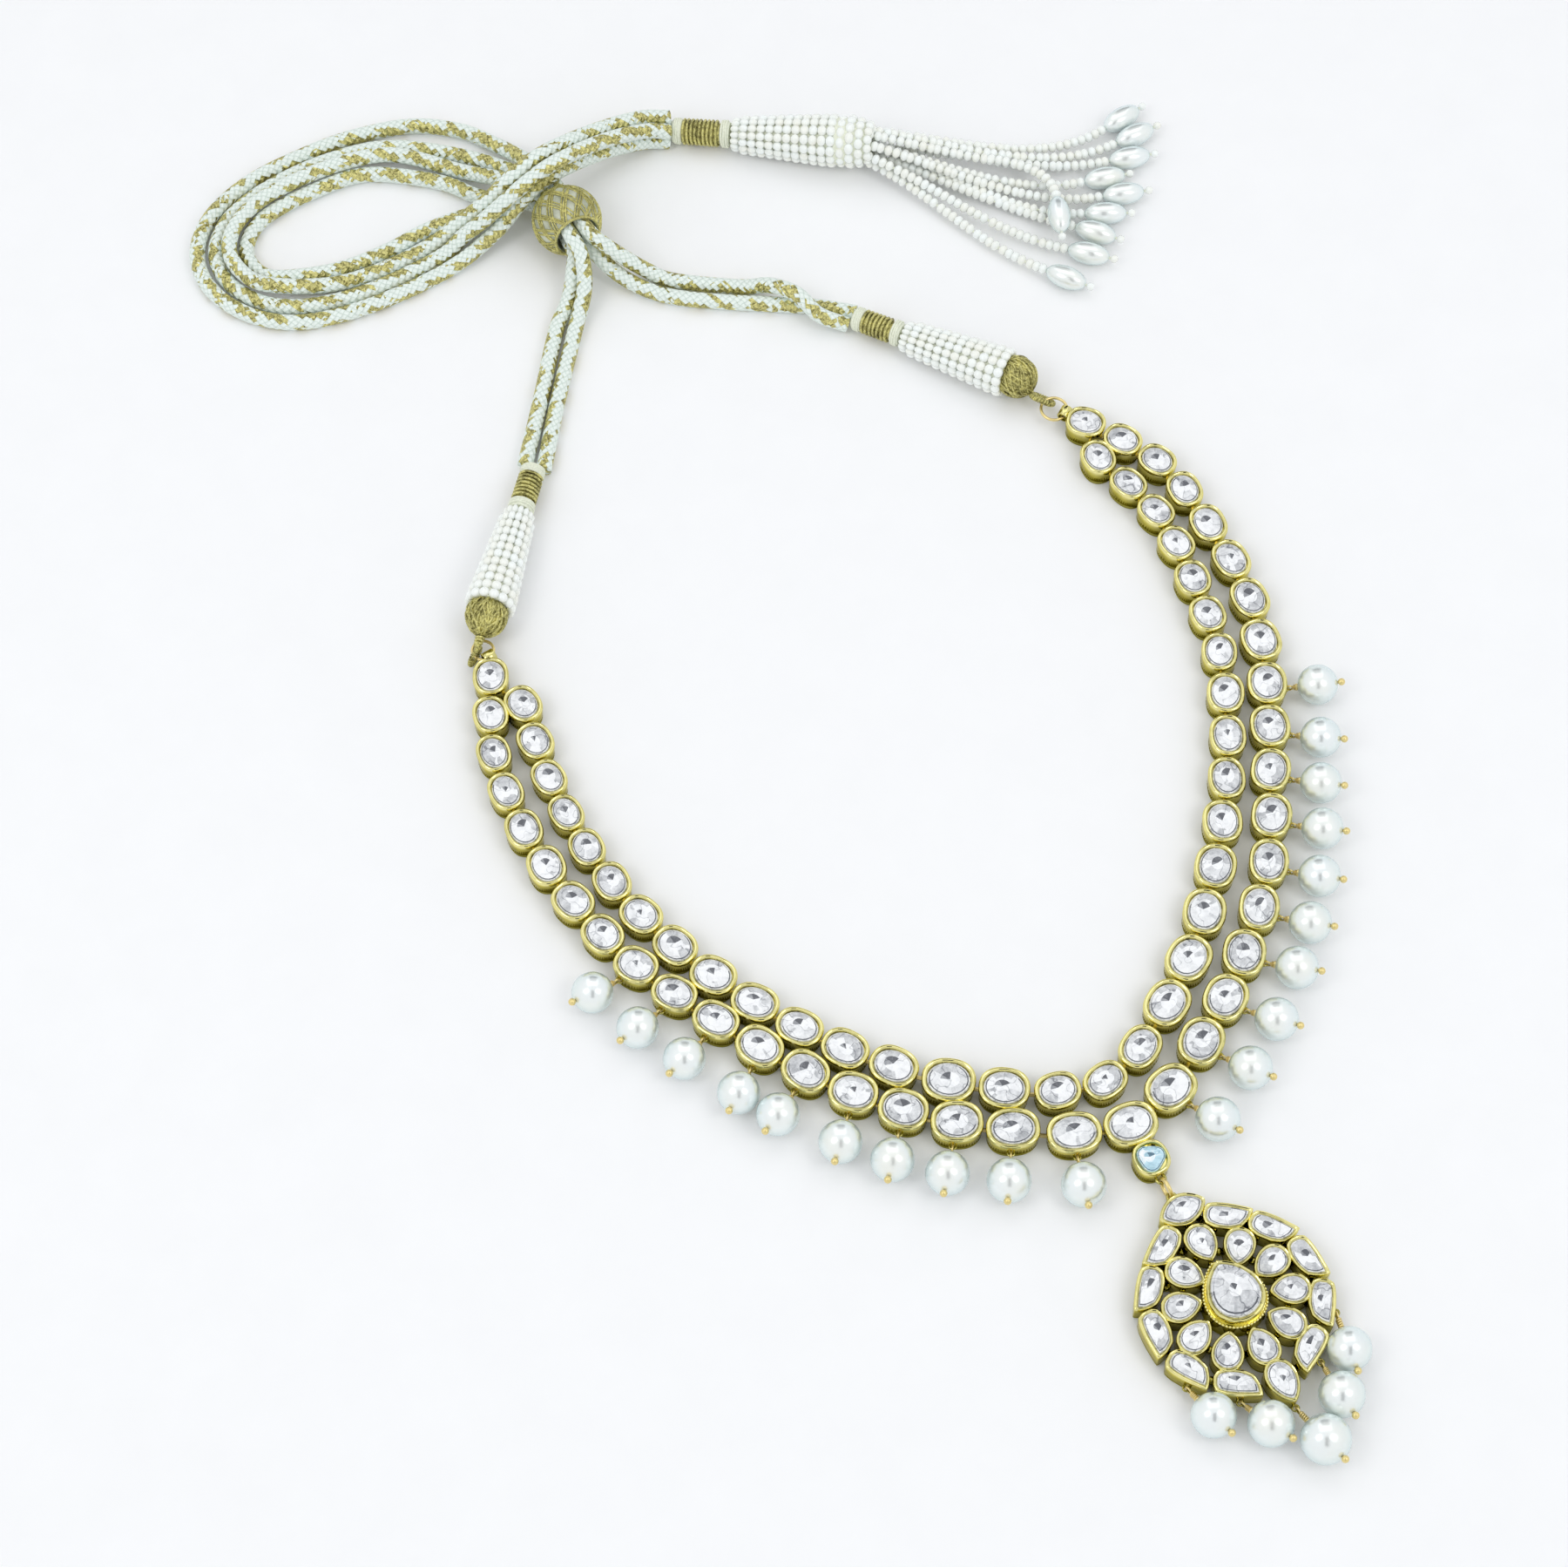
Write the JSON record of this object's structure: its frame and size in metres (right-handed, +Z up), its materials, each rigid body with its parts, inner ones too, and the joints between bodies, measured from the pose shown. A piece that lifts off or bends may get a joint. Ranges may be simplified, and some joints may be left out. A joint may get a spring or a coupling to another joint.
{
  "type": "kundan necklace",
  "caption": "Two-row collar of stone-set collets with a pearl fringe, a pierced pendant, and cords through a slide bead to a beaded tassel.",
  "frame": {"origin": "middle of the base, on the surface that the necklace lies on, the four cords and their slide bead left out", "axes": "+Z up from the surface, +Y from the pendant towards the slide bead, +X towards the row end nearest the tassel"},
  "size_m": [0.1663, 0.2886, 0.0134],
  "materials": {
    "gold": "polished yellow gold",
    "gold_wire": "polished yellow gold wire",
    "stone": "clear uncut stone with foil behind it",
    "pale_stone": "pale blue uncut stone",
    "pearl": "pearl lustre",
    "rice_pearl": "pearl lustre",
    "seed_beads": "strung white seed beads",
    "braided_cord": "ivory braid flecked with gold thread",
    "gold_thread": "wound metallic thread",
    "wound_bead": "bead covered with metallic thread"
  },
  "bodies": {
    "root": {"end_collet_left": "gold", "end_collet_right": "gold", "centre_collets": "gold", "outer_collets": "gold", "inner_collets": "gold", "outer_row_wire": "gold_wire", "inner_row_wire": "gold_wire", "outer_stones": "stone", "inner_stones": "stone", "connector_stone": "pale_stone", "pendant_bail": "gold_wire", "pendant_frame": "gold", "centre_stone": "stone", "petal_stones": "stone", "border_stones": "stone", "strip_pins": "gold_wire", "pendant_pins": "gold_wire", "pearl_left_1": "pearl", "pearl_left_2": "pearl", "pearl_left_3": "pearl", "pearl_left_4": "pearl", "pearl_left_5": "pearl", "pearl_left_6": "pearl", "pearl_left_7": "pearl", "pearl_left_8": "pearl", "pearl_left_9": "pearl", "pearl_left_10": "pearl", "pearl_right_1": "pearl", "pearl_right_2": "pearl", "pearl_right_3": "pearl", "pearl_right_4": "pearl", "pearl_right_5": "pearl", "pearl_right_6": "pearl", "pearl_right_7": "pearl", "pearl_right_8": "pearl", "pearl_right_9": "pearl", "pearl_right_10": "pearl", "pearl_pendant_1": "pearl", "pearl_pendant_2": "pearl", "pearl_pendant_3": "pearl", "pearl_pendant_4": "pearl", "pearl_pendant_5": "pearl", "link_rings": "gold_wire", "thread_ball_left": "gold_thread", "thread_ball_right": "gold_thread", "bead_sleeve_left": "seed_beads", "bead_sleeve_right": "seed_beads", "cord_wrap_left": "gold_thread", "cord_wrap_right": "gold_thread", "tassel_wrap": "gold_thread", "tassel_sleeve": "seed_beads", "tassel_strings": "seed_beads", "tassel_pearls": "rice_pearl", "cord_left_1": "braided_cord", "cord_left_2": "braided_cord", "cord_right_1": "braided_cord", "cord_right_2": "braided_cord", "slide_bead": "wound_bead"}
  },
  "joints": []
}
